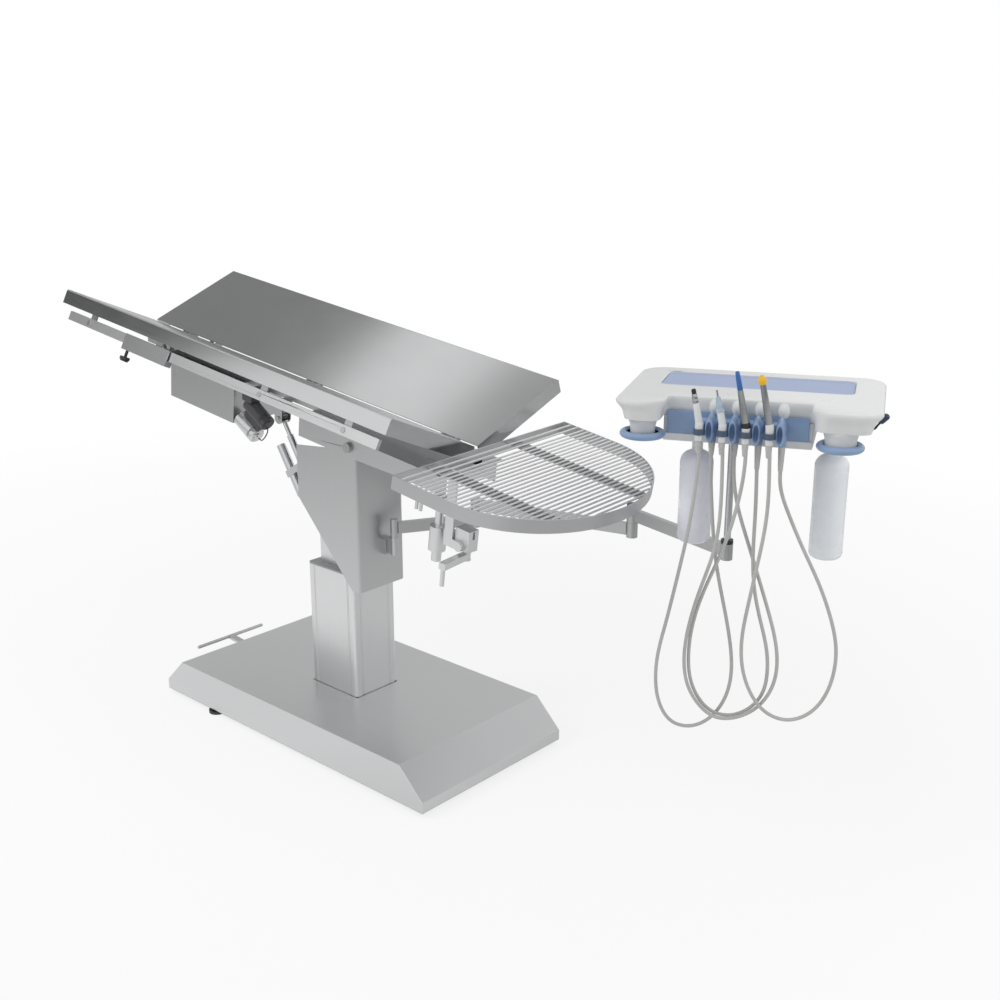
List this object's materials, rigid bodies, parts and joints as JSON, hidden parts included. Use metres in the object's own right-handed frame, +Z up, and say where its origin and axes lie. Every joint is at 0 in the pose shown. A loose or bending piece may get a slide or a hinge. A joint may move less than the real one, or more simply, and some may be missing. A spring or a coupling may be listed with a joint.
{
  "type": "veterinary surgery and dental table",
  "caption": "Stainless lifting table with a tilting V top, a swing-out grid extension and an instrument unit with hoses on a jointed arm.",
  "frame": {"origin": "On the floor under the middle of the base cover, 12 mm below the lower face of the floor plate", "axes": "+X runs along the base and the top towards the grid extension, +Y across the table away from the accessory rail, +Z up"},
  "size_m": [2.1552, 0.9524, 1.1349],
  "materials": {
    "steel_top": "fine brushed stainless sheet",
    "steel_base": "fine brushed stainless sheet",
    "steel": "satin stainless steel",
    "steel_light": "light satin stainless steel",
    "dark_steel": "dark coated steel",
    "zinc": "plain turned steel",
    "chrome": "hard chromed rod",
    "motor_grey": "dark grey coated case with a bright motor can",
    "motor_silver": "anodised aluminium tube",
    "arm_metal": "satin anodised aluminium",
    "grey_plastic": "moulded guide plastic",
    "black_plastic": "moulded black plastic",
    "white_plastic": "smooth white moulding",
    "blue_mat": "soft pale blue mat",
    "blue_plastic": "grey-blue moulding",
    "dark_blue_plastic": "dark blue knob",
    "instrument_metal": "satin metal handpiece",
    "grey_rubber": "light grey rubber",
    "hose_grey": "light grey silicone hose",
    "clear_plastic": "translucent white plastic"
  },
  "bodies": {
    "base": {"base_cover": "steel_base", "base_frame_plate": "dark_steel", "levelling_feet": "dark_steel", "column_outer_tube": "steel_light", "column_guide_bush": "grey_plastic", "lift_spindle_tube": "steel_light", "pedal_bracket": "dark_steel"},
    "pedal": {"pedal_bar": "steel"},
    "head": {"column_inner_tube": "steel_light", "head_housing": "steel", "head_mount_plate": "steel", "lift_actuator": "motor_grey", "arm_bracket": "steel"},
    "top": {"tilt_frame": "steel", "spine_channel": "steel", "control_box": "steel", "tilt_pivot_bolts": "zinc", "panel_hinge_blocks": "zinc", "quadrant_bolts": "zinc", "grid_pivot_pin": "steel_light", "actuator_clevis": "steel", "tilt_motor": "motor_grey", "tilt_actuator_rod": "chrome"},
    "actuator": {"tilt_actuator_tube": "motor_silver"},
    "near_side": {"near_panel": "steel_top", "near_panel_brackets": "steel", "accessory_rail": "steel_light", "rail_standoffs": "steel"},
    "far_side": {"far_panel": "steel_top", "far_panel_brackets": "steel"},
    "clamp": {"rail_clamp": "steel"},
    "clamp_screw": {"rail_clamp_screw": "dark_steel"},
    "grid_support": {"grid_sleeve": "steel_light"},
    "grid": {"grid_hanger": "steel_light", "grid_rim": "steel", "grid_rods": "steel_light", "grid_cross_bars": "steel"},
    "grid_lever": {"grid_clamp_lever": "steel_light"},
    "lower_arm": {"arm_lower": "arm_metal"},
    "middle_arm": {"arm_middle": "arm_metal"},
    "upper_arm": {"arm_upper": "arm_metal", "arm_caps": "black_plastic"},
    "unit": {"unit_post": "chrome", "unit_shell": "white_plastic", "unit_housing": "white_plastic", "unit_top_mat": "blue_mat", "unit_front_panel": "blue_plastic", "holder_clamps": "blue_plastic", "instrument_1": "white_plastic", "instrument_2": "white_plastic", "instrument_3": "instrument_metal", "instrument_4": "instrument_metal", "hose_strain_reliefs": "grey_rubber", "hose_1": "hose_grey", "hose_2": "hose_grey", "hose_3": "hose_grey", "hose_4": "hose_grey", "bottles": "clear_plastic", "ring_handles": "blue_plastic"},
    "unit_lever": {"side_lever": "dark_blue_plastic"}
  },
  "joints": [
    {"name": "pedal_rock", "type": "hinge", "parent": "base", "child": "pedal", "pos_m": [-0.432, 0, 0.068], "axis": [0, 1, 0], "range_deg": [-4, 4], "stiffness_Nm_per_rad": 4},
    {"name": "column_lift", "type": "slide", "parent": "base", "child": "head", "axis": [0, 0, 1], "range_m": [-0.13, 0.17]},
    {"name": "top_tilt", "type": "hinge", "parent": "head", "child": "top", "pos_m": [0.116, -0.006, 0.809], "axis": [0, 1, 0], "range_deg": [-9, 5]},
    {"name": "actuator_slide", "type": "slide", "parent": "top", "child": "actuator", "axis": [0.5359, 0, -0.8443], "range_m": [-0.045, 0.03]},
    {"name": "near_side_fold", "type": "hinge", "parent": "top", "child": "near_side", "pos_m": [0.12589, -0.015, 0.88839], "axis": [0.9923, 0, -0.1236], "range_deg": [-11, 23.4]},
    {"name": "far_side_fold", "type": "hinge", "parent": "top", "child": "far_side", "pos_m": [0.12589, 0.003, 0.88839], "axis": [0.9923, 0, -0.1236], "range_deg": [-23.4, 11]},
    {"name": "clamp_slide", "type": "slide", "parent": "near_side", "child": "clamp", "axis": [0.9923, 0, -0.1236], "range_m": [-0.27, 0.77]},
    {"name": "clamp_screw_turn", "type": "hinge", "parent": "clamp", "child": "clamp_screw", "pos_m": [-0.49512, -0.3236, 0.98344], "axis": [0.1134, 0.3971, 0.9107], "continuous": true},
    {"name": "grid_swing", "type": "hinge", "parent": "top", "child": "grid_support", "pos_m": [0.43851, -0.092, 0.76883], "axis": [0.1236, 0, 0.9923], "range_deg": [-90, 3]},
    {"name": "grid_tilt", "type": "hinge", "parent": "grid_support", "child": "grid", "pos_m": [0.50753, -0.092, 0.64334], "axis": [0, 1, 0], "range_deg": [-5, 5]},
    {"name": "grid_lever_turn", "type": "hinge", "parent": "grid_support", "child": "grid_lever", "pos_m": [0.51646, -0.088, 0.64222], "axis": [0.1236, 0, 0.9923], "range_deg": [-45, 60]},
    {"name": "lower_arm_turn", "type": "hinge", "parent": "head", "child": "lower_arm", "pos_m": [0.166, 0.008, 0.56], "axis": [0, 0, 1], "range_deg": [-8, 45]},
    {"name": "middle_arm_turn", "type": "hinge", "parent": "lower_arm", "child": "middle_arm", "pos_m": [0.27266, 0.20042, 0.604], "axis": [0, 0, 1], "range_deg": [-10, 45]},
    {"name": "upper_arm_turn", "type": "hinge", "parent": "middle_arm", "child": "upper_arm", "pos_m": [0.69593, 0.30909, 0.643], "axis": [0, 0, 1], "range_deg": [-10, 60]},
    {"name": "unit_turn", "type": "hinge", "parent": "upper_arm", "child": "unit", "pos_m": [1.01376, 0.2322, 0.7], "axis": [0, 0, 1], "range_deg": [-60, 45]},
    {"name": "unit_lever_turn", "type": "hinge", "parent": "unit", "child": "unit_lever", "pos_m": [1.26972, 0.34823, 0.966], "axis": [0.9048, 0.4258, 0], "range_deg": [-30, 60]}
  ],
  "couplings": [
    {"joint": "actuator_slide", "follows": "top_tilt", "m_per_rad": 0.23852}
  ]
}
